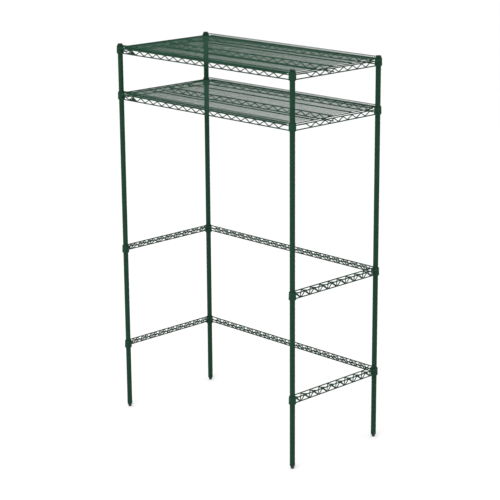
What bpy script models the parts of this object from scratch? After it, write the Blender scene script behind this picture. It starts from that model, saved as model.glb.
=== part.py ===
"""Free-standing wire storage rack of coated steel.

Four round posts with rolled grooves stand on levelling feet. Split plastic sleeves snap into the
grooves, and the tapered corner collars of two wire shelves and of two three-sided wire frames
drop over the sleeves and wedge on them.

Units are metres. The origin is on the floor below the middle of the rack. +X runs along the long
side, +Y points to the back (the front is the side that the three-sided frames leave open) and
+Z points up.
"""
import math

import bmesh
import bpy
from mathutils import Matrix

# ---------------------------------------------------------------- driving dimensions
POST_SPACING_X = 1.183
POST_SPACING_Y = 0.574
POST_RADIUS = 0.0127
POST_BORE_RADIUS = 0.0110
POST_BOTTOM = 0.0145
POST_LENGTH = 1.8788
GROOVE_DEPTH = 0.0008
GROOVE_HALF_WIDTH = 0.0016
GAP = 0.0003
ROUND_SIDES = 12
FULL_TURN = [2 * math.pi * k / ROUND_SIDES for k in range(ROUND_SIDES)]

# Heights of the collar centres. Each lies on a groove of the posts.
LEVELS = {
    "lower_frame": 0.3425,
    "upper_frame": 0.8505,
    "lower_shelf": 1.6379,
    "top_shelf": 1.8665,
}

SLEEVE_HALF_HEIGHT = 0.0205
SLEEVE_MID_RADIUS = 0.01495
SLEEVE_TAPER = 0.0317
SLEEVE_SPLIT_ANGLE = math.radians(2.0)
RIDGE_CLEARANCE = 0.0004
RIDGE_SIDE_CLEARANCE = 0.0002
COLLAR_HALF_HEIGHT = 0.018
COLLAR_WALL = 0.0021

WIRE = 0.005
SNAKE_WIRE = 0.0042
OUTER_OFFSET = 0.0155
INNER_OFFSET = 0.0170
TOP_CHORD = 0.0130
BOTTOM_CHORD = -0.0100
SHELF_DROP = 0.0052
SNAKE_PITCH = 0.061
OUTER_END_REACH = 0.0095
INNER_END_REACH = 0.0070
END_TAB = 0.0045
LONG_NODES = 18
SHELF_SIDE_NODES = 7
FRAME_SIDE_NODES = 9
CENTRE_TRUSS_NODES = 6
CENTRE_TRUSS_PITCH = 0.183
SUPPORT_WIRE_Y = 0.1265

DECK_WIRES = 45
DECK_WIRE = 0.003
DECK_HALF_LENGTH = 0.568
DECK_HALF_DEPTH = 0.302

TAG_THICKNESS = 0.002

CAP_PLUG_RADIUS = 0.0106
CAP_PLUG_LENGTH = 0.012
CAP_RIM_HEIGHT = 0.0012
CAP_HEIGHT = 0.0022
CAP_TOP_RADIUS = 0.0085

INSERT_RADIUS = 0.0106
INSERT_FLANGE_RADIUS = 0.0120
INSERT_FLANGE = 0.0015
INSERT_LENGTH = 0.025
THREAD_HOLE_RADIUS = 0.0043
BOLT_STEM_RADIUS = 0.0040
BOLT_STEM_TOP = 0.052
BOLT_HEAD_TOP = 0.0124
BOLT_HEAD_BOTTOM = 0.0064
BOLT_HEAD_CORNER_RADIUS = 0.0095
BOLT_PIN_RADIUS = 0.0030
BOLT_PIN_BOTTOM = 0.0032
GLIDE_TOP = 0.0061
GLIDE_TOP_RADIUS = 0.0082
GLIDE_BOTTOM_RADIUS = 0.0070
GLIDE_SOCKET_RADIUS = 0.0033
GLIDE_SOCKET_FLOOR = 0.0029

POST_TOP = POST_BOTTOM + POST_LENGTH
HALF_X = POST_SPACING_X / 2
HALF_Y = POST_SPACING_Y / 2
CORNERS = {
    "front_left": (-HALF_X, -HALF_Y),
    "front_right": (HALF_X, -HALF_Y),
    "back_left": (-HALF_X, HALF_Y),
    "back_right": (HALF_X, HALF_Y),
}


# ---------------------------------------------------------------- scene and materials
def clear_scene():
    for old in list(bpy.data.objects):
        bpy.data.objects.remove(old, do_unlink=True)


def coating(name, colour, roughness, metallic):
    material = bpy.data.materials.new(name)
    material.use_nodes = True
    shader = material.node_tree.nodes["Principled BSDF"]
    shader.inputs["Base Color"].default_value = (*colour, 1.0)
    shader.inputs["Roughness"].default_value = roughness
    shader.inputs["Metallic"].default_value = metallic
    return material


def empty(name, location, parent=None):
    guide = bpy.data.objects.new(name, None)
    guide.location = location
    guide.parent = parent
    bpy.context.scene.collection.objects.link(guide)
    return guide


def mesh_of(bm, name):
    """Turn a bmesh into mesh data with its faces pointing out."""
    bmesh.ops.recalc_face_normals(bm, faces=bm.faces[:])
    mesh = bpy.data.meshes.new(name)
    bm.to_mesh(mesh)
    bm.free()
    return mesh


def place(name, mesh, material, location=(0, 0, 0), turn=0.0, parent=None):
    """Add an object that shows the mesh, with its origin at the location."""
    if not mesh.materials:
        mesh.materials.append(material)
    part = bpy.data.objects.new(name, mesh)
    part.location = location
    part.rotation_euler = (0, 0, turn)
    part.parent = parent
    bpy.context.scene.collection.objects.link(part)
    return part


def shade_round(mesh):
    mesh.shade_smooth()
    mesh.set_sharp_from_angle(angle=math.radians(40))
    return mesh


# ---------------------------------------------------------------- turned shapes
def flat_radius(radius, angle):
    """Distance from the axis to a regular polygon's side, seen at an angle."""
    step = 2 * math.pi / ROUND_SIDES
    return radius * math.cos(step / 2) / math.cos(angle % step - step / 2)


def ring(bm, radius, height, angles):
    spots = []
    for angle in angles:
        reach = flat_radius(radius, angle)
        spots.append(bm.verts.new((reach * math.cos(angle), reach * math.sin(angle), height)))
    return spots


def bridge(bm, lower, upper, full_turn):
    count = len(lower) if full_turn else len(lower) - 1
    for k in range(count):
        n = (k + 1) % len(lower)
        bm.faces.new((lower[k], lower[n], upper[n], upper[k]))


def turned(profile, bored):
    """Turn an outline of (radius, height) points a full turn.

    A bored body's outline is closed. Any other outline is open, and flat faces close its ends.
    """
    bm = bmesh.new()
    rings = [ring(bm, radius, height, FULL_TURN) for radius, height in profile]
    for here, after in zip(rings, rings[1:]):
        bridge(bm, here, after, True)
    if bored:
        bridge(bm, rings[-1], rings[0], True)
    else:
        bm.faces.new(rings[0])
        bm.faces.new(rings[-1])
    bmesh.ops.recalc_face_normals(bm, faces=bm.faces[:])
    return bm


def turned_tube(name, profile):
    return shade_round(mesh_of(turned(profile, True), name))


def turned_solid(name, profile):
    return shade_round(mesh_of(turned(profile, False), name))


def turned_half(name, profile):
    """Turn a closed outline just under half a turn: one half of a split sleeve."""
    bm = bmesh.new()
    step = 2 * math.pi / ROUND_SIDES
    inner_angles = [step * k for k in range(1, ROUND_SIDES // 2)]
    angles = [SLEEVE_SPLIT_ANGLE, *inner_angles, math.pi - SLEEVE_SPLIT_ANGLE]
    rings = [ring(bm, radius, height, angles) for radius, height in profile]
    for here, after in zip(rings, rings[1:] + rings[:1]):
        bridge(bm, here, after, False)
    bm.faces.new([spots[0] for spots in rings])
    bm.faces.new([spots[-1] for spots in rings])
    return shade_round(mesh_of(bm, name))


# ---------------------------------------------------------------- flat wire shapes
def extruded(outline, holes, thickness):
    """A flat plate in the XZ plane with holes, centred on y = 0."""
    bm = bmesh.new()
    for loop in [outline, *holes]:
        spots = [bm.verts.new((x, -thickness / 2, z)) for x, z in loop]
        for here, after in zip(spots, spots[1:] + spots[:1]):
            bm.edges.new((here, after))
    bmesh.ops.triangle_fill(bm, edges=bm.edges[:], use_beauty=True, normal=(0, -1, 0))
    grown = bmesh.ops.extrude_face_region(bm, geom=bm.faces[:])
    moved = [item for item in grown["geom"] if isinstance(item, bmesh.types.BMVert)]
    bmesh.ops.translate(bm, verts=moved, vec=(0, thickness, 0))
    return bm


def rectangle(x_low, x_high, z_low, z_high, stops=()):
    """Corners of a rectangle, with further points at the stops along both long edges."""
    lower = [(x, z_low) for x in (x_low, *stops, x_high)]
    upper = [(x, z_high) for x in (x_low, *stops, x_high)]
    return lower + upper[::-1]


def snake_slope(pitch):
    return (TOP_CHORD - BOTTOM_CHORD) / (pitch / 2)


def snake_half_width(pitch):
    """Half the horizontal width of the zigzag wire."""
    return SNAKE_WIRE / 2 / math.sin(math.atan(snake_slope(pitch)))


def upright_window(node, pitch, margin=0.0):
    """Triangle with its base on the bottom chord, right of the bottom node."""
    lean = snake_half_width(pitch) + margin / math.sin(math.atan(snake_slope(pitch)))
    base = BOTTOM_CHORD + WIRE / 2 + margin
    inset = (base - BOTTOM_CHORD) / snake_slope(pitch) + lean
    tip = BOTTOM_CHORD + (pitch / 2 - lean) * snake_slope(pitch)
    return [(node + inset, base), (node + pitch - inset, base), (node + pitch / 2, tip)]


def hanging_window(node, pitch):
    """Triangle with its base on the top chord, centred above the bottom node."""
    base = TOP_CHORD - WIRE / 2
    reach = (base - BOTTOM_CHORD) / snake_slope(pitch) - snake_half_width(pitch)
    tip = BOTTOM_CHORD + snake_half_width(pitch) * snake_slope(pitch)
    return [(node, tip), (node + reach, base), (node - reach, base)]


def end_window(node, pitch, edge, side):
    """Window between the truss's end tab and its first or last zigzag wire."""
    slope = snake_slope(pitch)
    low = BOTTOM_CHORD + WIRE / 2
    high = TOP_CHORD - WIRE / 2
    low_reach = (low - BOTTOM_CHORD) / slope + snake_half_width(pitch)
    high_reach = (high - BOTTOM_CHORD) / slope + snake_half_width(pitch)
    foot = (node + side * low_reach, low)
    room = abs(edge - node)
    if room > high_reach:
        return [(edge, low), foot, (node + side * high_reach, high), (edge, high)]
    meeting = BOTTOM_CHORD + (room - snake_half_width(pitch)) * slope
    return [(edge, low), foot, (edge, meeting)]


def truss(half_length, nodes, pitch, thickness):
    """Two straight chords with a zigzag wire between them, as one flat lattice along X."""
    first = -pitch * (nodes - 1) / 2
    spots = [first + pitch * k for k in range(nodes)]
    holes = [hanging_window(spot, pitch) for spot in spots]
    holes += [upright_window(spot, pitch) for spot in spots[:-1]]
    holes.append(end_window(spots[0], pitch, -half_length + END_TAB, -1))
    holes.append(end_window(spots[-1], pitch, half_length - END_TAB, 1))
    stops = (spots[0], spots[len(spots) // 2], spots[-1])
    low = BOTTOM_CHORD - WIRE / 2
    outline = rectangle(-half_length, half_length, low, TOP_CHORD + WIRE / 2, stops)
    return extruded(outline, holes, thickness)


def bar(half_length, centre_height, size):
    """A straight square wire along X."""
    low = centre_height - size / 2
    return extruded(rectangle(-half_length, half_length, low, low + size), [], size)


def moved_to(bm, location, turn=0.0):
    bm.transform(Matrix.Translation(location) @ Matrix.Rotation(turn, 4, "Z"))
    return bm


def united(name, shapes):
    """Join overlapping closed shapes into one body."""
    helpers = [place(f"{name}_{k}", mesh_of(bm, name), STEEL_GREEN) for k, bm in enumerate(shapes)]
    base = helpers[0]
    for helper in helpers[1:]:
        joint = base.modifiers.new("weld_on", "BOOLEAN")
        joint.operation = "UNION"
        joint.solver = "EXACT"
        joint.object = helper
    bpy.context.view_layer.update()
    depsgraph = bpy.context.evaluated_depsgraph_get()
    mesh = bpy.data.meshes.new_from_object(base.evaluated_get(depsgraph))
    mesh.name = name
    for helper in helpers:
        bpy.data.objects.remove(helper, do_unlink=True)
    return mesh


# ---------------------------------------------------------------- posts, caps and sleeves
def sleeve_radius(height):
    return SLEEVE_MID_RADIUS - SLEEVE_TAPER * height


def post_mesh():
    outer = [(POST_RADIUS, POST_BOTTOM)]
    for level in sorted(LEVELS.values()):
        outer.append((POST_RADIUS, level - GROOVE_HALF_WIDTH))
        outer.append((POST_RADIUS - GROOVE_DEPTH, level))
        outer.append((POST_RADIUS, level + GROOVE_HALF_WIDTH))
    outer.append((POST_RADIUS, POST_TOP))
    bore = [(POST_BORE_RADIUS, POST_TOP), (POST_BORE_RADIUS, POST_BOTTOM)]
    return turned_tube("post", outer + bore)


def cap_mesh():
    seat = POST_TOP + GAP
    profile = [
        (CAP_PLUG_RADIUS, POST_TOP - CAP_PLUG_LENGTH),
        (CAP_PLUG_RADIUS, seat),
        (POST_RADIUS, seat),
        (POST_RADIUS, POST_TOP + CAP_RIM_HEIGHT),
        (CAP_TOP_RADIUS, POST_TOP + CAP_HEIGHT),
    ]
    return turned_solid("post_cap", profile)


def insert_mesh():
    seat = POST_BOTTOM - GAP
    profile = [
        (THREAD_HOLE_RADIUS, seat - INSERT_FLANGE),
        (INSERT_FLANGE_RADIUS, seat - INSERT_FLANGE),
        (INSERT_FLANGE_RADIUS, seat),
        (INSERT_RADIUS, seat),
        (INSERT_RADIUS, POST_BOTTOM + INSERT_LENGTH),
        (THREAD_HOLE_RADIUS, POST_BOTTOM + INSERT_LENGTH),
    ]
    return turned_tube("post_insert", profile)


def sleeve_half_mesh():
    bore = POST_RADIUS + GAP
    ridge = POST_RADIUS - GROOVE_DEPTH + RIDGE_CLEARANCE
    ridge_half_width = GROOVE_HALF_WIDTH - RIDGE_SIDE_CLEARANCE
    profile = [
        (sleeve_radius(-SLEEVE_HALF_HEIGHT), -SLEEVE_HALF_HEIGHT),
        (sleeve_radius(SLEEVE_HALF_HEIGHT), SLEEVE_HALF_HEIGHT),
        (bore, SLEEVE_HALF_HEIGHT),
        (bore, ridge_half_width),
        (ridge, 0.0),
        (bore, -ridge_half_width),
        (bore, -SLEEVE_HALF_HEIGHT),
    ]
    return turned_half("sleeve_half", profile)


# ---------------------------------------------------------------- levelling feet
def hexagonal_head():
    bm = bmesh.new()
    ends = []
    for height in (BOLT_HEAD_BOTTOM, BOLT_HEAD_TOP):
        corners = []
        for k in range(6):
            x = BOLT_HEAD_CORNER_RADIUS * math.cos(math.pi * k / 3)
            y = BOLT_HEAD_CORNER_RADIUS * math.sin(math.pi * k / 3)
            corners.append(bm.verts.new((x, y, height)))
        ends.append(corners)
    bridge(bm, ends[0], ends[1], True)
    bm.faces.new(ends[0])
    bm.faces.new(ends[1])
    return bm


def bolt_mesh():
    """Threaded stem, hexagonal head and the pin that the glide turns on."""
    core_profile = [
        (BOLT_PIN_RADIUS, BOLT_PIN_BOTTOM),
        (BOLT_PIN_RADIUS, BOLT_HEAD_BOTTOM + GAP),
        (BOLT_STEM_RADIUS, BOLT_HEAD_BOTTOM + 2 * GAP),
        (BOLT_STEM_RADIUS, BOLT_STEM_TOP),
    ]
    return united("levelling_bolt", [turned(core_profile, False), hexagonal_head()])


def glide_mesh():
    profile = [
        (GLIDE_BOTTOM_RADIUS, 0.0),
        (GLIDE_TOP_RADIUS, GLIDE_TOP),
        (GLIDE_SOCKET_RADIUS, GLIDE_TOP),
        (GLIDE_SOCKET_RADIUS, GLIDE_SOCKET_FLOOR),
    ]
    return turned_solid("glide", profile)


# ---------------------------------------------------------------- shelves and frames
def collar():
    """Tapered ring that wedges on a sleeve, parallel to the sleeve's outside."""
    profile = []
    for height in (-COLLAR_HALF_HEIGHT, COLLAR_HALF_HEIGHT):
        profile.append((sleeve_radius(height) + GAP + COLLAR_WALL, height))
    for height in (COLLAR_HALF_HEIGHT, -COLLAR_HALF_HEIGHT):
        profile.append((sleeve_radius(height) + GAP, height))
    return turned(profile, True)


def collars():
    return [moved_to(collar(), (x, y, 0)) for x, y in CORNERS.values()]


def long_side(y_sign, drop):
    """Front or back edge: an outer truss and a plain inner wire, both lowered by the drop."""
    outer = truss(HALF_X - OUTER_END_REACH, LONG_NODES, SNAKE_PITCH, WIRE)
    inner = bar(HALF_X - INNER_END_REACH, TOP_CHORD, WIRE)
    return [
        moved_to(outer, (0, y_sign * (HALF_Y + OUTER_OFFSET), -drop)),
        moved_to(inner, (0, y_sign * (HALF_Y - INNER_OFFSET), -drop)),
    ]


def short_side(x_sign, nodes, drop):
    """Left or right edge. Its inner wire lies a little lower than the long one."""
    quarter_turn = math.pi / 2
    outer = truss(HALF_Y - OUTER_END_REACH, nodes, SNAKE_PITCH, WIRE)
    inner = bar(HALF_Y - INNER_END_REACH, TOP_CHORD - GAP, WIRE)
    return [
        moved_to(outer, (x_sign * (HALF_X + OUTER_OFFSET), 0, -drop), quarter_turn),
        moved_to(inner, (x_sign * (HALF_X - INNER_OFFSET), 0, -drop), quarter_turn),
    ]


def deck_supports():
    """The middle truss and the two straight wires that run lengthwise under the deck."""
    reach = HALF_X - INNER_OFFSET
    drop = SHELF_DROP + 2 * GAP
    middle = truss(reach, CENTRE_TRUSS_NODES, CENTRE_TRUSS_PITCH, WIRE)
    shapes = [moved_to(middle, (0, 0, -drop))]
    for side in (-1, 1):
        shapes.append(moved_to(bar(reach, TOP_CHORD, WIRE), (0, side * SUPPORT_WIRE_Y, -drop)))
    return shapes


def shelf_frame_mesh():
    shapes = long_side(-1, SHELF_DROP) + long_side(1, SHELF_DROP)
    for x_sign in (-1, 1):
        shapes += short_side(x_sign, SHELF_SIDE_NODES, SHELF_DROP)
    return united("shelf_frame", shapes + collars() + deck_supports())


def three_sided_frame_mesh():
    shapes = long_side(1, 0.0)
    for x_sign in (-1, 1):
        shapes += short_side(x_sign, FRAME_SIDE_NODES, 0.0)
    return united("three_sided_frame", shapes + collars())


def lattice(columns, rows, solid, thickness):
    """A level plate over a grid of x and y stops, present only in the cells where solid says so."""
    bm = bmesh.new()
    upper = {}
    lower = {}
    for i, x in enumerate(columns):
        for j, y in enumerate(rows):
            upper[i, j] = bm.verts.new((x, y, thickness / 2))
            lower[i, j] = bm.verts.new((x, y, -thickness / 2))
    cells = {
        (i, j)
        for i in range(len(columns) - 1)
        for j in range(len(rows) - 1)
        if solid(i, j)
    }
    for i, j in cells:
        loop = [(i, j), (i + 1, j), (i + 1, j + 1), (i, j + 1)]
        bm.faces.new([upper[spot] for spot in loop])
        bm.faces.new([lower[spot] for spot in reversed(loop)])
        neighbours = [(i, j - 1), (i + 1, j), (i, j + 1), (i - 1, j)]
        for here, after, neighbour in zip(loop, loop[1:] + loop[:1], neighbours):
            if neighbour not in cells:
                bm.faces.new((upper[here], lower[here], lower[after], upper[after]))
    unused = [vert for vert in bm.verts if not vert.link_faces]
    bmesh.ops.delete(bm, geom=unused, context="VERTS")
    return bm


def deck_mesh():
    """Close-set wires from front to back, held by a cross wire at each end."""
    columns = []
    for k in range(DECK_WIRES):
        centre = DECK_HALF_LENGTH * (2 * k / (DECK_WIRES - 1) - 1)
        columns += [centre - DECK_WIRE / 2, centre + DECK_WIRE / 2]
    inner = DECK_HALF_DEPTH - DECK_WIRE
    rows = [-DECK_HALF_DEPTH, -inner, 0.0, inner, DECK_HALF_DEPTH]
    end_rows = (0, len(rows) - 2)
    bm = lattice(columns, rows, lambda i, j: i % 2 == 0 or j in end_rows, DECK_WIRE)
    centre_height = TOP_CHORD - SHELF_DROP + WIRE / 2 + GAP + DECK_WIRE / 2
    return mesh_of(moved_to(bm, (0, 0, centre_height)), "shelf_deck")


def tag_mesh():
    """Blank three-cornered plate that fills the first upright window of the front truss."""
    first = -SNAKE_PITCH * (LONG_NODES - 1) / 2
    plate = extruded(upright_window(first, SNAKE_PITCH, GAP), [], TAG_THICKNESS)
    return mesh_of(moved_to(plate, (0, -HALF_Y - OUTER_OFFSET, -SHELF_DROP)), "blank_tag")


# ---------------------------------------------------------------- assembly
def build_posts(rack):
    post = post_mesh()
    cap = cap_mesh()
    insert = insert_mesh()
    sleeve = sleeve_half_mesh()
    for corner, (x, y) in CORNERS.items():
        place(f"post_{corner}", post, STEEL_GREEN, (x, y, 0), parent=rack)
        place(f"post_cap_{corner}", cap, PLASTIC_BLACK, (x, y, 0), parent=rack)
        place(f"post_insert_{corner}", insert, PLASTIC_BLACK, (x, y, 0), parent=rack)
        for level, height in LEVELS.items():
            for half, turn in (("aft", 0.0), ("fore", math.pi)):
                name = f"sleeve_{level}_{corner}_{half}"
                place(name, sleeve, PLASTIC_BLACK, (x, y, height), turn, rack)


def build_feet(rack):
    bolt = bolt_mesh()
    glide = glide_mesh()
    for corner, (x, y) in CORNERS.items():
        foot = empty(f"foot_axis_{corner}", (x, y, 0), rack)
        place(f"glide_{corner}", glide, RUBBER_DARK, parent=foot)
        place(f"levelling_bolt_{corner}", bolt, STEEL_PLATED, parent=foot)


def build_levels(rack):
    shelf_frame = shelf_frame_mesh()
    deck = deck_mesh()
    tag = tag_mesh()
    for level in ("lower_shelf", "top_shelf"):
        guide = empty(f"{level}_axis", (0, 0, LEVELS[level]), rack)
        place(f"{level}_frame", shelf_frame, STEEL_GREEN, parent=guide)
        place(f"{level}_deck", deck, DECK_GREEN, parent=guide)
        place(f"{level}_tag", tag, PLASTIC_BLACK, parent=guide)
    three_sided = three_sided_frame_mesh()
    for level in ("lower_frame", "upper_frame"):
        guide = empty(f"{level}_axis", (0, 0, LEVELS[level]), rack)
        place(f"{level}_three_sided", three_sided, STEEL_GREEN, parent=guide)


clear_scene()
STEEL_GREEN = coating("green_coated_steel", (0.004, 0.040, 0.021), 0.45, 0.0)
DECK_GREEN = coating("green_coated_deck", (0.0065, 0.050, 0.0275), 0.45, 0.0)
PLASTIC_BLACK = coating("black_plastic", (0.004, 0.015, 0.010), 0.55, 0.0)
STEEL_PLATED = coating("plated_steel", (0.060, 0.075, 0.066), 0.42, 1.0)
RUBBER_DARK = coating("dark_rubber", (0.012, 0.014, 0.013), 0.80, 0.0)
RACK = empty("rack", (0, 0, 0))
build_posts(RACK)
build_feet(RACK)
build_levels(RACK)
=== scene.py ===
"""Looks of a free-standing rack of coated wire: two shelves and two three-sided frames on posts.

Units are metres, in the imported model's frame: +X to the right along the long side, +Y to the
closed back, +Z up. Each visual piece stands for one CAD node, rides on that node's body and gets
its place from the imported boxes.
"""

import math

import bpy
import numpy as np
from mathutils import Matrix, Vector


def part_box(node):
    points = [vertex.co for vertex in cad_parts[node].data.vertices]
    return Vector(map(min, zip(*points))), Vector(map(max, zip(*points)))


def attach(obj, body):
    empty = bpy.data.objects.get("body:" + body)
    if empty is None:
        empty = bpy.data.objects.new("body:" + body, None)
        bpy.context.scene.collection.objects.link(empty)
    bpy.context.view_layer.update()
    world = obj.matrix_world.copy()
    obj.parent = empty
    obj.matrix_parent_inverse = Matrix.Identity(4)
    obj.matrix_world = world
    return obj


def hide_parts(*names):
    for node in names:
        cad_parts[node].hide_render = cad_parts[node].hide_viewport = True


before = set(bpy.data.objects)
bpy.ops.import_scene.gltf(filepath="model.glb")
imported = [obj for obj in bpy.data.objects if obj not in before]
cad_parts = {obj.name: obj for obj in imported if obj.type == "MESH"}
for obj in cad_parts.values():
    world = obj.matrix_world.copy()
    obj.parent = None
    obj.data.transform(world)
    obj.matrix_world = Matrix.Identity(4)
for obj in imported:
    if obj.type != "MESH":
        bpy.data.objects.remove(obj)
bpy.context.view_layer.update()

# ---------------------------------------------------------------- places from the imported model
CORNERS = ("front_left", "front_right", "back_left", "back_right")
SHELVES = ("lower_shelf", "top_shelf")
FRAMES = ("lower_frame", "upper_frame")


def middle(node):
    """Centre of a CAD node's box."""
    low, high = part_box(node)
    return (low + high) / 2


POST_AXIS = {corner: middle(f"post_{corner}") for corner in CORNERS}
HALF_X = POST_AXIS["front_right"].x
HALF_Y = POST_AXIS["back_right"].y
POST_LOW, POST_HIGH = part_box("post_front_left")
POST_RADIUS = (POST_HIGH.x - POST_LOW.x) / 2
LEVEL_Z = {
    level: middle(f"sleeve_{level}_front_left_aft").z for level in FRAMES + SHELVES
}

# ---------------------------------------------------------------- sizes of the fine shapes
# Heights of a shelf's or frame's parts are measured from the middle of its collars. "out" is a
# distance outward from the line between two post axes, negative where a part lies inside it.
GAP = 0.0003

# Posts: a groove is given as (height from its middle, depth), and is left out near the tube's foot.
GROOVE_PITCH = 0.0254
GROOVE = ((-0.0016, 0.0), (-0.0010, 0.0005), (0.0, 0.0008), (0.0010, 0.0005), (0.0016, 0.0))
PLAIN_END = 0.004
POST_BORE = 0.0110
POST_EDGE = 0.0003
PLUG_RADIUS = 0.0106

# Caps: the crown is an elliptic dome whose flat top and shoulder are fractions of the post's radius.
CAP_PLUG_TIP = 0.0095
CAP_CHAMFER = 0.001
CAP_CROWN = 0.62
CAP_TOP = 0.3
CAP_BRIM = 0.0002
CAP_STEPS = 8

INSERT_HOLE = 0.0043
INSERT_EDGE = 0.0004
INSERT_LIP = 0.0003

# Glides: the sole is given as (radius, height) from the floor up.
GLIDE_SOLE = ((0.0066, 0.0), (0.0070, 0.0004), (0.0072, 0.0012))
GLIDE_EDGE = 0.0006
GLIDE_SOCKET = 0.0033
GLIDE_SOCKET_FLOOR = 0.0029

# Levelling bolts: the head's chamfer is (distance from the face, how far past the flats).
PIN_RADIUS = 0.0030
PIN_CHAMFER = 0.0002
HEAD_LOW = 0.0064
HEAD_HIGH = 0.0124
HEAD_CORNER = 0.0095
HEAD_CHAMFER = ((0.0, -0.0004), (0.0004, 0.0003))
HEAD_SHOULDER = 0.0010
BOLT_NECK = 0.0036
THREAD_PITCH = 0.0015875
THREAD_ROOT = 0.0033
THREAD_DEPTH = 0.0007
THREAD_STEPS = 6
THREAD_START = 0.0004
THREAD_END = 0.001
BOLT_TIP = 0.0026
BOLT_SIDES = 36

# Sleeves: half height, radius at mid height, loss of radius per metre of height, and the split's
# half angle in degrees. The ridge inside sits in the post's groove.
SLEEVE_HALF = 0.0205
SLEEVE_MID_RADIUS = 0.01495
SLEEVE_TAPER = 0.0317
SLEEVE_SPLIT = 2.0
SLEEVE_FOOT_EDGE = 0.0004
SLEEVE_TOP_EDGE = 0.0003
SLEEVE_RIDGE = 0.0007
SLEEVE_RIDGE_TOP = 0.0004
SLEEVE_RIDGE_ROOT = 0.0014
SLEEVE_SIDES = 20

# Collars follow the sleeves' taper, GAP outside them.
COLLAR_HALF = 0.018
COLLAR_WALL = 0.0021
COLLAR_LIP = 0.0006
COLLAR_SIDES = 40

# Radii of the wires.
RAIL = 0.0028
SNAKE = 0.0024
DECK_WIRE = 0.00115
THIN_RAIL = 0.0014

RAIL_SIDES = 12
SNAKE_SIDES = 8
DECK_SIDES = 8
THIN_SIDES = 10
RAIL_POINTS = 24

# Rails and zigzags that shelves and frames share. The outer wire at OUTER runs inside the collars'
# outline. There it passes through the sleeves and slightly into the posts, which is a known fault.
OUTER = 0.0152
INNER = -0.0170
FOOT_RAIL = 0.0120
SNAKE_PITCH = 0.061
SNAKE_BEND = 0.0075
LONG_NODES = 18
SIDE_DROP = 0.0003
BEND_STEPS = 4
RING_STEPS = 8

# Three-sided frames: two top rails and one bottom rail, and zigzags given at foot and at head.
FRAME_SIDE_NODES = 9
TOP_Z = 0.0130
FOOT_Z = -0.0125
OPEN_END = 0.003
INNER_RAIL_SHORT = 0.004
FOOT_RAIL_SHORT = 0.0125
SNAKE_SINK = 0.0012
FLAT_Z = TOP_Z - RAIL - SNAKE / 2
FRAME_SNAKES = (
    ((FOOT_RAIL + 0.0005, FOOT_Z - SNAKE_SINK), (OUTER - 0.0030, TOP_Z + SNAKE_SINK)),
    ((FOOT_RAIL - 0.0030, FOOT_Z - SNAKE_SINK), (INNER + 0.0022, TOP_Z + SNAKE_SINK)),
    ((OUTER - 0.0010, FLAT_Z), (INNER + 0.0010, FLAT_Z)),
)

# Shelves: the edge's zigzag is given as (out, height) at its foot, at its head and at its ends.
SHELF_SIDE_NODES = 7
SHELF_TOP_Z = 0.0078
SHELF_FOOT_Z = -0.0155
SHELF_SNAKE_FOOT = (0.0138, -0.0134)
SHELF_SNAKE_HEAD = (0.0150, 0.0058)
SHELF_SNAKE_END = (0.0125, 0.0064)
COLLAR_REACH = 0.0118
SUPPORT_Y = 0.1265
CENTRE_FOOT_Z = -0.0155
CENTRE_WELD = 0.0026

# Decks: the ridge is given as (out, height) from the flat part outward.
DECK_COUNT = 90
DECK_HALF_X = 0.568
DECK_Z = 0.0118
DECK_RIDGE = ((-0.008, DECK_Z), (0.001, 0.0245), (0.0050, 0.0245), (0.0155, 0.0145))
DECK_BEND = 0.0030
RIDGE_RAIL = (0.0030, 0.0222)
END_RAIL = (0.0155, 0.0120)
RAIL_OVERHANG = 0.002

# Tags: each ring is (how far it shrinks toward the centre, how far it stands out of the plate).
TAG_SIDE = 0.005
TAG_FOOT = 0.0003
TAG_HEAD = 0.0065
TAG_RINGS = (
    (0.04, -0.0010),
    (0.0, -0.0006),
    (0.0, 0.0006),
    (0.04, 0.0010),
    (0.14, 0.0010),
    (0.17, 0.0006),
)

# Faces that meet at a sharper angle than this, in degrees, keep a crisp edge.
SHARP_ANGLE = 40.0


# ---------------------------------------------------------------- mesh building
class Skin:
    """Points and outward faces of one piece, gathered shape by shape."""

    def __init__(self):
        self.points = []
        self.faces = []
        self.count = 0

    def add(self, points, faces):
        start = self.count
        self.points.append(np.asarray(points, float).reshape(-1, 3))
        self.faces += [[corner + start for corner in face] for face in faces]
        self.count += len(self.points[-1])

    def add_capped(self, rings, poles):
        """Rings of points one after another, closed at both ends by fans to the two poles."""
        count, sides = rings.shape[:2]
        faces = ring_faces(count, sides, False)
        for k in range(sides):
            n = (k + 1) % sides
            faces.append([n, k, count * sides])
            faces.append([(count - 1) * sides + k, (count - 1) * sides + n, count * sides + 1])
        self.add(np.vstack([rings.reshape(-1, 3), poles]), faces)

    def piece(self, name, material, place):
        mesh = bpy.data.meshes.new(name)
        mesh.from_pydata(np.vstack(self.points).tolist(), [], self.faces)
        mesh.shade_smooth()
        mesh.set_sharp_from_angle(angle=math.radians(SHARP_ANGLE))
        mesh.materials.append(material)
        made = bpy.data.objects.new(name, mesh)
        made.location = place
        bpy.context.scene.collection.objects.link(made)
        return made


def unit(rows):
    return rows / np.linalg.norm(rows, axis=-1, keepdims=True)


def carried_frames(path, closed):
    """Tangents of a path, with two normals carried along it without twist."""
    if closed:
        ahead = unit(np.roll(path, -1, axis=0) - path)
        tangents = unit(ahead + np.roll(ahead, 1, axis=0))
    else:
        ahead = unit(np.diff(path, axis=0))
        tangents = unit(np.vstack([ahead[:1], ahead[:-1] + ahead[1:], ahead[-1:]]))
    nearly_parallel = 0.9
    guide = np.array((0.0, 0.0, 1.0))
    if abs(tangents[0] @ guide) > nearly_parallel:
        guide = np.array((1.0, 0.0, 0.0))
    normal = np.cross(tangents[0], guide)
    normals = []
    for tangent in tangents:
        normal = unit(normal - tangent * (normal @ tangent))
        normals.append(normal)
    normals = np.array(normals)
    return tangents, normals, np.cross(tangents, normals)


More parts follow.
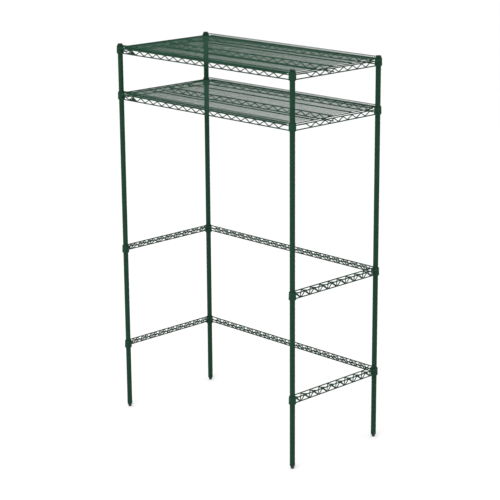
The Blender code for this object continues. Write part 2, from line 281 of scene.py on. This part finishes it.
def ring_faces(rings, sides, closed):
    """Four-sided faces between neighbouring rings, and from the last to the first where closed."""
    faces = []
    for i in range(rings if closed else rings - 1):
        here = i * sides
        after = (i + 1) % rings * sides
        for k in range(sides):
            n = (k + 1) % sides
            faces.append([here + k, here + n, after + n, after + k])
    return faces


def wire(skin, path, radius, sides, closed=False):
    """A round wire along a path, with softly domed ends."""
    path = np.asarray(path, float)
    tangents, normals, others = carried_frames(path, closed)
    turn = np.arange(sides) * 2 * math.pi / sides
    circle = (
        np.cos(turn)[None, :, None] * normals[:, None, :]
        + np.sin(turn)[None, :, None] * others[:, None, :]
    )
    rings = path[:, None, :] + radius * circle
    if closed:
        skin.add(rings, ring_faces(len(path), sides, True))
        return
    # The dome's shoulder ring and its pole, as fractions of the wire's radius.
    shoulder, shoulder_out, pole_out = 0.72, 0.42, 0.6
    first = path[0] - tangents[0] * radius * shoulder_out + shoulder * radius * circle[0]
    last = path[-1] + tangents[-1] * radius * shoulder_out + shoulder * radius * circle[-1]
    rings = np.concatenate([first[None], rings, last[None]])
    poles = [
        path[0] - tangents[0] * radius * pole_out,
        path[-1] + tangents[-1] * radius * pole_out,
    ]
    skin.add_capped(rings, poles)


def turned(skin, profile, place=(0.0, 0.0, 0.0), sides=32, closed=True):
    """Turn (radius, height) points about a vertical axis.

    A closed profile runs up the outside and down the bore. An open one runs from pole to pole.
    """
    turn = np.arange(sides) * 2 * math.pi / sides
    radius, height = np.asarray(profile, float).T
    rings = np.stack(
        [
            radius[:, None] * np.cos(turn),
            radius[:, None] * np.sin(turn),
            np.repeat(height[:, None], sides, axis=1),
        ],
        axis=-1,
    )
    place = np.asarray(place, float)
    if closed:
        skin.add(rings + place, ring_faces(len(profile), sides, True))
        return
    poles = np.array([(0.0, 0.0, height[0]), (0.0, 0.0, height[-1])])
    skin.add_capped(rings + place, poles + place)


def bent(corners, reach):
    """Round off the inner corners of a path over the given reach along each leg."""
    corners = [np.asarray(corner, float) for corner in corners]
    path = [corners[0]]
    for before, corner, after in zip(corners, corners[1:], corners[2:]):
        start = corner + unit(before - corner) * reach
        end = corner + unit(after - corner) * reach
        for t in np.linspace(0.0, 1.0, BEND_STEPS + 1):
            path.append((1 - t) ** 2 * start + 2 * t * (1 - t) * corner + t * t * end)
    path.append(corners[-1])
    return np.array(path)


# ---------------------------------------------------------------- edges of shelves and frames
EDGE_HALF = {"front": HALF_X, "back": HALF_X, "left": HALF_Y, "right": HALF_Y}


def on_edge(edge, along, out, height):
    """A point given by its distance along an edge and its distance outward from the post axes."""
    if edge == "front":
        return (along, -HALF_Y - out, height)
    if edge == "back":
        return (along, HALF_Y + out, height)
    if edge == "left":
        return (-HALF_X - out, along, height)
    return (HALF_X + out, along, height)


def outer_ring(edges, out, height):
    """Path of the outer wire round the rack, bent round the collars."""
    path = []
    turns = [(HALF_X, HALF_Y, 0), (-HALF_X, HALF_Y, 90)]
    if "front" in edges:
        turns = [(HALF_X, -HALF_Y, -90)] + turns + [(-HALF_X, -HALF_Y, 180)]
    else:
        path.append((HALF_X + out, -HALF_Y - OPEN_END, height))
    for x, y, start in turns:
        for k in range(RING_STEPS + 1):
            turn = math.radians(start + 90 * k / RING_STEPS)
            path.append((x + out * math.cos(turn), y + out * math.sin(turn), height))
    if "front" not in edges:
        path.append((-HALF_X - out, -HALF_Y - OPEN_END, height))
    return path


def rail_along_x(skin, reach, y, height, radius=RAIL, sides=RAIL_SIDES):
    """A straight wire along X, centred on the middle of the rack."""
    path = [(x, y, height) for x in np.linspace(-reach, reach, RAIL_POINTS)]
    wire(skin, path, radius, sides)


def zigzag(edge, nodes, foot, head):
    """Corners of a zigzag along an edge. foot and head are its (out, height) at the two rails."""
    first = -SNAKE_PITCH * (nodes - 1) / 2
    spots = []
    for k in range(nodes):
        spots.append(on_edge(edge, first + SNAKE_PITCH * (k - 0.5), *head))
        spots.append(on_edge(edge, first + SNAKE_PITCH * k, *foot))
    spots.append(on_edge(edge, first + SNAKE_PITCH * (nodes - 0.5), *head))
    return spots


def snake(skin, spots):
    """The zigzag wire itself, bent at each corner."""
    wire(skin, bent(spots, SNAKE_BEND), SNAKE, SNAKE_SIDES)


def double_truss(skin, edge, nodes):
    """Inner top rail, bottom rail and the three zigzags that tie each pair of rails together."""
    half = EDGE_HALF[edge]
    lower = SIDE_DROP if edge in ("left", "right") else 0.0
    for out, height, short in (
        (INNER, TOP_Z - lower, INNER_RAIL_SHORT),
        (FOOT_RAIL, FOOT_Z, FOOT_RAIL_SHORT),
    ):
        ends = [on_edge(edge, sign * (half - short), out, height) for sign in (-1, 1)]
        wire(skin, np.linspace(ends[0], ends[1], RAIL_POINTS), RAIL, RAIL_SIDES)
    for foot, head in FRAME_SNAKES:
        snake(skin, zigzag(edge, nodes, foot, head))


def shelf_truss(skin, edge, nodes):
    """Bottom rail of a shelf's edge, and the zigzag wire that runs from collar to collar."""
    end = EDGE_HALF[edge] - COLLAR_REACH
    stations = np.linspace(-end, end, RAIL_POINTS)
    rail = [on_edge(edge, along, FOOT_RAIL, SHELF_FOOT_Z) for along in stations]
    wire(skin, rail, RAIL, RAIL_SIDES)
    first, last = (on_edge(edge, along, *SHELF_SNAKE_END) for along in (-end, end))
    snake(skin, [first, *zigzag(edge, nodes, SHELF_SNAKE_FOOT, SHELF_SNAKE_HEAD), last])


def centre_truss(skin, reach):
    """Truss below the middle of the deck: two straight wires with a zigzag between them."""
    for height in (SHELF_TOP_Z, CENTRE_FOOT_Z):
        rail_along_x(skin, reach, 0.0, height)
    sink = RAIL + SNAKE - CENTRE_WELD
    spots = []
    for k in range(LONG_NODES):
        head_x = (k - LONG_NODES / 2) * SNAKE_PITCH
        spots.append((head_x, 0.0, SHELF_TOP_Z - sink))
        spots.append((head_x + SNAKE_PITCH / 2, 0.0, CENTRE_FOOT_Z + sink))
    spots.append((LONG_NODES / 2 * SNAKE_PITCH, 0.0, SHELF_TOP_Z - sink))
    snake(skin, spots)


def collar_radius(height):
    """Inner radius of a collar, which clears the sleeve by the gap."""
    return SLEEVE_MID_RADIUS - SLEEVE_TAPER * height + GAP


def collar(skin, x, y):
    """Tapered ring with rolled lips."""
    top = collar_radius(COLLAR_HALF)
    foot = collar_radius(-COLLAR_HALF)
    profile = [
        (foot + COLLAR_LIP, -COLLAR_HALF),
        (foot + COLLAR_WALL - COLLAR_LIP, -COLLAR_HALF),
        (foot + COLLAR_WALL, -COLLAR_HALF + COLLAR_LIP),
        (top + COLLAR_WALL, COLLAR_HALF - COLLAR_LIP),
        (top + COLLAR_WALL - COLLAR_LIP, COLLAR_HALF),
        (top + COLLAR_LIP / 2, COLLAR_HALF),
        (top, COLLAR_HALF - COLLAR_LIP / 2),
        (foot, -COLLAR_HALF + COLLAR_LIP),
    ]
    turned(skin, profile, (x, y, 0.0), COLLAR_SIDES)


def collars(skin):
    for corner in CORNERS:
        collar(skin, POST_AXIS[corner].x, POST_AXIS[corner].y)


def shelf_frame():
    """Four collars, the outer wire round them, four edge trusses, four long wires and the centre."""
    skin = Skin()
    collars(skin)
    ring = outer_ring(("front", "back", "left", "right"), OUTER, SHELF_TOP_Z)
    wire(skin, ring, RAIL, RAIL_SIDES, closed=True)
    for edge in ("front", "back"):
        shelf_truss(skin, edge, LONG_NODES)
    for edge in ("left", "right"):
        shelf_truss(skin, edge, SHELF_SIDE_NODES)
    reach_x = HALF_X + INNER
    reach_y = HALF_Y + INNER
    lower = SHELF_TOP_Z - SIDE_DROP
    for side in (-1, 1):
        ends = [(side * reach_x, y, lower) for y in (-reach_y, reach_y)]
        wire(skin, np.linspace(*ends, RAIL_POINTS), RAIL, RAIL_SIDES)
        for y in (SUPPORT_Y, reach_y):
            rail_along_x(skin, reach_x, side * y, SHELF_TOP_Z)
    centre_truss(skin, reach_x)
    return skin


def three_sided_frame():
    """Four collars and the wires between them along the back, left and right."""
    skin = Skin()
    collars(skin)
    wire(skin, outer_ring(("back", "left", "right"), OUTER, TOP_Z), RAIL, RAIL_SIDES)
    double_truss(skin, "back", LONG_NODES)
    for edge in ("left", "right"):
        double_truss(skin, edge, FRAME_SIDE_NODES)
    return skin


def deck():
    """Close-set thin wires from front to back, with a low ridge along each long edge."""
    skin = Skin()
    half = [(HALF_Y + out, height) for out, height in DECK_RIDGE]
    front = [(0.0, -y, z) for y, z in reversed(half)]
    back = [(0.0, y, z) for y, z in half]
    path = bent(front + back, DECK_BEND)
    for x in np.linspace(-DECK_HALF_X, DECK_HALF_X, DECK_COUNT):
        wire(skin, path + (x, 0.0, 0.0), DECK_WIRE, DECK_SIDES)
    reach = DECK_HALF_X + RAIL_OVERHANG
    for side in (-1, 1):
        for out, height in (RIDGE_RAIL, END_RAIL):
            rail_along_x(skin, reach, side * (HALF_Y + out), height, THIN_RAIL, THIN_SIDES)
    return skin


def tag():
    """Blank three-cornered plate in the first upright window of the front edge."""
    skin = Skin()
    first = -SNAKE_PITCH * (LONG_NODES - 1) / 2
    low = SHELF_FOOT_Z + RAIL + TAG_FOOT
    outline = [
        (first + TAG_SIDE, low),
        (first + SNAKE_PITCH - TAG_SIDE, low),
        (first + SNAKE_PITCH / 2, SHELF_TOP_Z - TAG_HEAD),
    ]
    centre = np.mean(outline, axis=0)
    lean = (OUTER - FOOT_RAIL) / (SHELF_TOP_Z - SHELF_FOOT_Z)

    def loop(shrink, out):
        rows = []
        for spot in outline:
            x, z = np.array(spot) + (centre - spot) * shrink
            rows.append((x, -HALF_Y - FOOT_RAIL - lean * (z - SHELF_FOOT_Z) - out, z))
        return rows

    corners = len(outline)
    faces = [face[::-1] for face in ring_faces(len(TAG_RINGS), corners, False)]
    last = (len(TAG_RINGS) - 1) * corners
    faces.append([0, 1, 2])
    faces.append([last + 2, last + 1, last])
    skin.add(np.array([loop(*ring) for ring in TAG_RINGS]), faces)
    return skin


# ---------------------------------------------------------------- posts, caps and feet
def post():
    """Tube with a groove at every pitch down from the top shelf's."""
    skin = Skin()
    low, high = POST_LOW.z, POST_HIGH.z
    profile = [(POST_RADIUS - POST_EDGE, low), (POST_RADIUS, low + POST_EDGE)]
    count = int((LEVEL_Z["top_shelf"] - low) / GROOVE_PITCH)
    for k in range(count, -1, -1):
        height = LEVEL_Z["top_shelf"] - k * GROOVE_PITCH
        if height - low > PLAIN_END:
            profile += [(POST_RADIUS - depth, height + offset) for offset, depth in GROOVE]
    profile += [(POST_RADIUS, high - POST_EDGE), (POST_RADIUS - POST_EDGE, high)]
    profile += [(POST_BORE, high), (POST_BORE, low)]
    turned(skin, profile)
    return skin


def cap():
    """Domed cap on a plug that fits the tube's bore."""
    skin = Skin()
    low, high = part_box("post_cap_front_left")
    seat = POST_HIGH.z + GAP
    dome = high.z - seat
    profile = [
        (CAP_PLUG_TIP, low.z),
        (PLUG_RADIUS, low.z + CAP_CHAMFER),
        (PLUG_RADIUS, seat),
        (POST_RADIUS - CAP_BRIM, seat),
    ]
    for k in range(CAP_STEPS + 1):
        turn = math.radians(90 * k / CAP_STEPS)
        radius = POST_RADIUS * (CAP_CROWN + (1 - CAP_CROWN) * math.cos(turn))
        profile.append((radius, seat + CAP_BRIM + (dome - 2 * CAP_BRIM) * math.sin(turn)))
    profile.append((POST_RADIUS * CAP_TOP, high.z))
    turned(skin, profile, closed=False)
    return skin


def insert():
    """Plug with a wider foot below the tube, bored for the bolt."""
    skin = Skin()
    low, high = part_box("post_insert_front_left")
    seat = POST_LOW.z - GAP
    radius = (high.x - low.x) / 2
    profile = [
        (INSERT_HOLE, low.z),
        (radius - INSERT_EDGE, low.z),
        (radius, low.z + INSERT_EDGE),
        (radius, seat - INSERT_LIP),
        (radius - INSERT_LIP, seat),
        (PLUG_RADIUS, seat),
        (PLUG_RADIUS, high.z),
        (INSERT_HOLE, high.z),
    ]
    turned(skin, profile)
    return skin


def glide():
    """Round foot with a blind socket for the bolt's pin."""
    skin = Skin()
    low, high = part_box("glide_front_left")
    radius = (high.x - low.x) / 2
    profile = [*GLIDE_SOLE, (radius - GLIDE_EDGE / 2, high.z - GLIDE_EDGE)]
    profile += [(radius - GLIDE_EDGE, high.z), (GLIDE_SOCKET, high.z)]
    profile.append((GLIDE_SOCKET, GLIDE_SOCKET_FLOOR))
    turned(skin, profile, closed=False)
    return skin


def bolt():
    """Stem with a right-hand thread, chamfered hexagonal head, and the pin that the glide turns on."""
    skin = Skin()
    low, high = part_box("levelling_bolt_front_left")
    turn = np.arange(BOLT_SIDES) * 2 * math.pi / BOLT_SIDES
    flat = HEAD_CORNER * math.cos(math.pi / 6)
    hexagon = flat / np.cos((turn % (math.pi / 3)) - math.pi / 6)

    rings = [(PIN_RADIUS - PIN_CHAMFER, low.z), (PIN_RADIUS, low.z + PIN_CHAMFER)]
    rings.append((PIN_RADIUS, HEAD_LOW))
    for inset, spread in HEAD_CHAMFER:
        rings.append((np.minimum(hexagon, flat + spread), HEAD_LOW + inset))
    rings.append((hexagon, HEAD_LOW + HEAD_SHOULDER))
    rings.append((hexagon, HEAD_HIGH - HEAD_SHOULDER))
    for inset, spread in reversed(HEAD_CHAMFER):
        rings.append((np.minimum(hexagon, flat + spread), HEAD_HIGH - inset))
    rings.append((BOLT_NECK, HEAD_HIGH))

    start = HEAD_HIGH + THREAD_START
    steps = int((high.z - THREAD_END - start) / THREAD_PITCH * THREAD_STEPS)
    for k in range(steps + 1):
        height = start + k * THREAD_PITCH / THREAD_STEPS
        phase = (height / THREAD_PITCH - turn / (2 * math.pi)) % 1.0
        crest = np.abs(phase * 2 - 1)
        fade = min(1.0, (steps - k) / (2 * THREAD_STEPS), k / THREAD_STEPS)
        rings.append((THREAD_ROOT + THREAD_DEPTH * crest * fade, height))
    rings.append((BOLT_TIP, high.z))

    points = [
        np.stack([radius * np.cos(turn), radius * np.sin(turn), np.full(BOLT_SIDES, height)], axis=-1)
        for radius, height in rings
    ]
    skin.add_capped(np.array(points), [(0.0, 0.0, low.z), (0.0, 0.0, high.z)])
    return skin


def sleeve_half(aft):
    """Half of the split tapered sleeve, with its ridge that sits in the post's groove."""
    skin = Skin()
    split = math.radians(SLEEVE_SPLIT)
    turn = np.linspace(split, math.pi - split, SLEEVE_SIDES + 1) + (0.0 if aft else math.pi)
    bore = POST_RADIUS + GAP
    top = SLEEVE_MID_RADIUS - SLEEVE_TAPER * SLEEVE_HALF
    foot = SLEEVE_MID_RADIUS + SLEEVE_TAPER * SLEEVE_HALF
    profile = [
        (foot - SLEEVE_FOOT_EDGE, -SLEEVE_HALF),
        (foot, -SLEEVE_HALF + SLEEVE_FOOT_EDGE),
        (top, SLEEVE_HALF - SLEEVE_TOP_EDGE),
        (top - SLEEVE_TOP_EDGE, SLEEVE_HALF),
        (bore, SLEEVE_HALF),
        (bore, SLEEVE_RIDGE_ROOT),
        (bore - SLEEVE_RIDGE, SLEEVE_RIDGE_TOP),
        (bore - SLEEVE_RIDGE, -SLEEVE_RIDGE_TOP),
        (bore, -SLEEVE_RIDGE_ROOT),
        (bore, -SLEEVE_HALF),
    ]
    count = len(profile)
    points = [
        (radius * math.cos(angle), radius * math.sin(angle), height)
        for angle in turn
        for radius, height in profile
    ]
    faces = []
    for i in range(SLEEVE_SIDES):
        for k in range(count):
            n = (k + 1) % count
            faces.append([i * count + k, (i + 1) * count + k, (i + 1) * count + n, i * count + n])
    faces.append(list(range(count)))
    faces.append([SLEEVE_SIDES * count + k for k in reversed(range(count))])
    skin.add(points, faces)
    return skin


# ---------------------------------------------------------------- materials
# Colours are linear (red, green, blue). Noise scales are in patterns per metre.
COAT_DUST = (0.30, 0.31, 0.29)
FLOOR_DUST = (0.20, 0.20, 0.18)


def brighter(colour, times):
    return tuple(channel * times for channel in colour)


class Recipe:
    """One node material, wired up by short calls. Patterns stick to each piece's own space."""

    def __init__(self, name):
        self.material = bpy.data.materials.new(name)
        self.material.use_nodes = True
        self.tree = self.material.node_tree
        self.shader = self.tree.nodes["Principled BSDF"]
        self.spot = self.tree.nodes.new("ShaderNodeTexCoord").outputs["Object"]
        self.surface = self.tree.nodes.new("ShaderNodeNewGeometry")

    def link(self, source, target):
        self.tree.links.new(source, target)

    def drive(self, socket, source):
        """Let a pattern drive one of the shader's sockets."""
        self.link(source, self.shader.inputs[socket])

    def put(self, socket, value):
        """Set one of the shader's sockets to a fixed value."""
        self.shader.inputs[socket].default_value = value

    def noise(self, scale, detail=3.0, roughness=0.55):
        node = self.tree.nodes.new("ShaderNodeTexNoise")
        node.inputs["Scale"].default_value = scale
        node.inputs["Detail"].default_value = detail
        node.inputs["Roughness"].default_value = roughness
        self.link(self.spot, node.inputs["Vector"])
        return node.outputs["Fac"]

    def remap(self, value, start, end, low=0.0, high=1.0):
        """Stretch a value's span from start to end so that it runs from low to high."""
        node = self.tree.nodes.new("ShaderNodeMapRange")
        for name, number in zip(("From Min", "From Max", "To Min", "To Max"), (start, end, low, high)):
            node.inputs[name].default_value = number
        self.link(value, node.inputs["Value"])
        return node.outputs["Result"]

    def mix(self, factor, first, second):
        """Blend two colours. Each is an (r, g, b) tuple or another node's output."""
        node = self.tree.nodes.new("ShaderNodeMix")
        node.data_type = "RGBA"
        self.link(factor, node.inputs["Factor"])
        sockets = [item for item in node.inputs if item.type == "RGBA"]
        for socket, colour in zip(sockets, (first, second)):
            if isinstance(colour, tuple):
                socket.default_value = (*colour, 1.0)
            else:
                self.link(colour, socket)
        return next(item for item in node.outputs if item.type == "RGBA")

    def upward(self):
        """How much a face looks up: 0 for walls and undersides, 1 for level tops."""
        split = self.tree.nodes.new("ShaderNodeSeparateXYZ")
        self.link(self.surface.outputs["Normal"], split.inputs["Vector"])
        return self.remap(split.outputs["Z"], 0.35, 1.0)

    def edges(self, low, high):
        """Convex edges by the mesh's pointiness."""
        return self.remap(self.surface.outputs["Pointiness"], low, high)

    def times(self, first, second):
        """Product of two patterns."""
        node = self.tree.nodes.new("ShaderNodeMath")
        node.operation = "MULTIPLY"
        self.link(first, node.inputs[0])
        self.link(second, node.inputs[1])
        return node.outputs["Value"]

    def bump(self, height, strength, distance):
        node = self.tree.nodes.new("ShaderNodeBump")
        node.inputs["Strength"].default_value = strength
        node.inputs["Distance"].default_value = distance
        self.link(height, node.inputs["Height"])
        self.drive("Normal", node.outputs["Normal"])


def coating(name, deep, light, shine):
    """Baked green coat: cloudy colour, orange-peel skin, thin dust on top and thin paint on edges."""
    made = Recipe(name)
    clouds = made.remap(made.noise(9.0, detail=4.0), 0.35, 0.65)
    grain = made.remap(made.noise(420.0, detail=2.0), 0.3, 0.7, high=0.35)
    colour = made.mix(clouds, deep, light)
    colour = made.mix(grain, colour, brighter(light, 1.6))
    patches = made.remap(made.noise(130.0), 0.5, 0.7, high=0.5)
    colour = made.mix(made.times(made.edges(0.53, 0.62), patches), colour, brighter(light, 2.4))
    settled = made.remap(made.noise(55.0, detail=4.0), 0.4, 0.75, low=0.02, high=0.10)
    colour = made.mix(made.times(made.upward(), settled), colour, COAT_DUST)
    made.drive("Base Color", colour)
    made.drive("Roughness", made.remap(made.noise(70.0), 0.3, 0.7, shine - 0.05, shine + 0.07))
    made.put("Specular IOR Level", 0.10)
    made.bump(made.noise(780.0, detail=2.0), strength=0.22, distance=0.00025)
    return made.material


def moulded(name, deep, light, shine):
    """Fine-grained plastic, a little paler where it is rubbed."""
    made = Recipe(name)
    speckle = made.remap(made.noise(1500.0), 0.35, 0.65)
    colour = made.mix(speckle, deep, light)
    patches = made.remap(made.noise(160.0), 0.45, 0.7, high=0.6)
    colour = made.mix(made.times(made.edges(0.52, 0.60), patches), colour, brighter(light, 3.0))
    made.drive("Base Color", colour)
    made.drive("Roughness", made.remap(made.noise(240.0), 0.3, 0.7, shine - 0.08, shine + 0.08))
    made.put("Specular IOR Level", 0.15)
    made.bump(made.noise(2200.0, detail=2.0), strength=0.35, distance=0.00012)
    return made.material


def plated(name):
    """Dark plating with cloudy tone and fine marks."""
    made = Recipe(name)
    clouds = made.remap(made.noise(260.0, detail=4.0), 0.35, 0.65)
    made.drive("Base Color", made.mix(clouds, (0.045, 0.060, 0.051), (0.075, 0.090, 0.081)))
    made.drive("Roughness", made.remap(made.noise(900.0), 0.3, 0.7, 0.34, 0.50))
    made.put("Metallic", 1.0)
    made.bump(made.noise(1800.0, detail=2.0), strength=0.2, distance=0.00008)
    return made.material


def dusty_rubber(name):
    """Dark rubber with dust where it faces up."""
    made = Recipe(name)
    speckle = made.remap(made.noise(1100.0), 0.35, 0.65)
    colour = made.mix(speckle, (0.010, 0.014, 0.012), (0.020, 0.024, 0.021))
    patches = made.remap(made.noise(420.0, detail=4.0), 0.45, 0.75, high=0.5)
    colour = made.mix(made.times(patches, made.upward()), colour, FLOOR_DUST)
    made.drive("Base Color", colour)
    made.drive("Roughness", made.remap(made.noise(500.0), 0.3, 0.7, 0.68, 0.88))
    made.put("Specular IOR Level", 0.3)
    made.bump(made.noise(1600.0), strength=0.4, distance=0.0002)
    return made.material


def matte_floor(name):
    """Pale floor whose tone drifts very slightly."""
    made = Recipe(name)
    tone = made.remap(made.noise(0.8), 0.3, 0.7)
    made.drive("Base Color", made.mix(tone, (0.925, 0.925, 0.925), (0.940, 0.940, 0.940)))
    made.put("Roughness", 0.9)
    made.put("Specular IOR Level", 0.1)
    return made.material


GREEN = coating("green_coat", (0.0042, 0.0270, 0.0135), (0.0062, 0.0360, 0.0185), 0.45)
# The deck's wires carry the same green coat as the posts. Their colour here is a lighter copy of it:
# painted sheen standing in for the highlights that the thin glossy wires catch from the white
# surround.
DECK_GREEN_PAINTED_SHEEN = coating("green_deck_coat_painted_sheen", (0.0050, 0.0440, 0.0230), (0.0080, 0.0580, 0.0320), 0.45)
PLASTIC = moulded("black_plastic", (0.0025, 0.0120, 0.0080), (0.0050, 0.0180, 0.0120), 0.55)
STEEL = plated("plated_steel")
RUBBER = dusty_rubber("dark_rubber")
FINISH = {
    "post_coating": GREEN,
    "wire_coating": GREEN,
    "deck_coating": DECK_GREEN_PAINTED_SHEEN,
    "black_plastic": PLASTIC,
    "plated_steel": STEEL,
    "dark_rubber": RUBBER,
}


# ---------------------------------------------------------------- assembly
def show(skin, node, body, slot, place):
    """Put one fine piece in place of its CAD node, on that node's body."""
    made = skin.piece(f"fine_{node}", FINISH[slot], place)
    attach(made, body)
    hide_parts(node)


def build():
    on_post = {"post": (post(), "post_coating")}
    on_post["post_cap"] = (cap(), "black_plastic")
    on_post["post_insert"] = (insert(), "black_plastic")
    feet, stem = glide(), bolt()
    halves = {"aft": sleeve_half(True), "fore": sleeve_half(False)}
    for corner in CORNERS:
        x, y = POST_AXIS[corner].x, POST_AXIS[corner].y
        ground = (x, y, 0.0)
        for node, (skin, slot) in on_post.items():
            show(skin, f"{node}_{corner}", "uprights", slot, ground)
        for level, height in LEVEL_Z.items():
            for half, skin in halves.items():
                node = f"sleeve_{level}_{corner}_{half}"
                show(skin, node, "uprights", "black_plastic", (x, y, height))
        show(feet, f"glide_{corner}", f"foot_{corner}", "dark_rubber", ground)
        show(stem, f"levelling_bolt_{corner}", f"bolt_{corner}", "plated_steel", ground)
    shelf = {"frame": (shelf_frame(), "wire_coating")}
    shelf["deck"] = (deck(), "deck_coating")
    shelf["tag"] = (tag(), "black_plastic")
    side_frame = three_sided_frame()
    for level in SHELVES:
        for part, (skin, slot) in shelf.items():
            show(skin, f"{level}_{part}", level, slot, (0.0, 0.0, LEVEL_Z[level]))
    for level in FRAMES:
        show(side_frame, f"{level}_three_sided", level, "wire_coating", (0.0, 0.0, LEVEL_Z[level]))


# ---------------------------------------------------------------- floor, light and camera
FLOOR_SIZE = 60.0
WORLD_STRENGTH = 1.08
KEY_SIZE = 3.5
KEY_ENERGY = 160.0
KEY_PLACE = (1.5, -5.5, 5.0)
KEY_AIM = (0.0, 0.0, 1.0)

CAMERA_AIM = (0.0183, 0.0013, 0.9026)
CAMERA_AZIMUTH = 45.80
CAMERA_ELEVATION = 15.29
CAMERA_ROLL = -0.40
CAMERA_DISTANCE = 8.131
CAMERA_LENS = 118.6
SENSOR_WIDTH = 36.0
CLIP_END = 200.0


def stage():
    """Plain pale floor, an even white surround and one large soft light from the front."""
    bpy.ops.mesh.primitive_plane_add(size=FLOOR_SIZE, location=(0.0, 0.0, 0.0))
    floor = bpy.context.object
    floor.name = "floor"
    floor.data.materials.append(matte_floor("pale_floor"))
    world = bpy.data.worlds.new("studio")
    bpy.context.scene.world = world
    world.use_nodes = True
    background = world.node_tree.nodes["Background"]
    background.inputs["Color"].default_value = (1.0, 1.0, 1.0, 1.0)
    background.inputs["Strength"].default_value = WORLD_STRENGTH
    key = bpy.data.lights.new("soft_key", "AREA")
    key.size = KEY_SIZE
    key.energy = KEY_ENERGY
    lamp = bpy.data.objects.new("soft_key", key)
    lamp.location = KEY_PLACE
    lamp.rotation_euler = (Vector(KEY_AIM) - lamp.location).to_track_quat("-Z", "Y").to_euler()
    bpy.context.scene.collection.objects.link(lamp)
    bpy.context.scene.view_settings.view_transform = "Standard"


def camera():
    """Long lens at the front right, azimuth measured from the front toward the right."""
    azimuth, elevation = math.radians(CAMERA_AZIMUTH), math.radians(CAMERA_ELEVATION)
    lens = bpy.data.cameras.new("camera")
    lens.lens = CAMERA_LENS
    lens.sensor_width = SENSOR_WIDTH
    lens.clip_end = CLIP_END
    viewer = bpy.data.objects.new("camera", lens)
    back = Vector(
        (
            math.cos(elevation) * math.sin(azimuth),
            -math.cos(elevation) * math.cos(azimuth),
            math.sin(elevation),
        )
    )
    viewer.location = Vector(CAMERA_AIM) + CAMERA_DISTANCE * back
    roll = Matrix.Rotation(math.radians(CAMERA_ROLL), 4, "Z")
    turn = back.to_track_quat("Z", "Y").to_matrix().to_4x4() @ roll
    viewer.matrix_world = Matrix.Translation(viewer.location) @ turn
    bpy.context.scene.collection.objects.link(viewer)
    bpy.context.scene.camera = viewer


build()
stage()
camera()
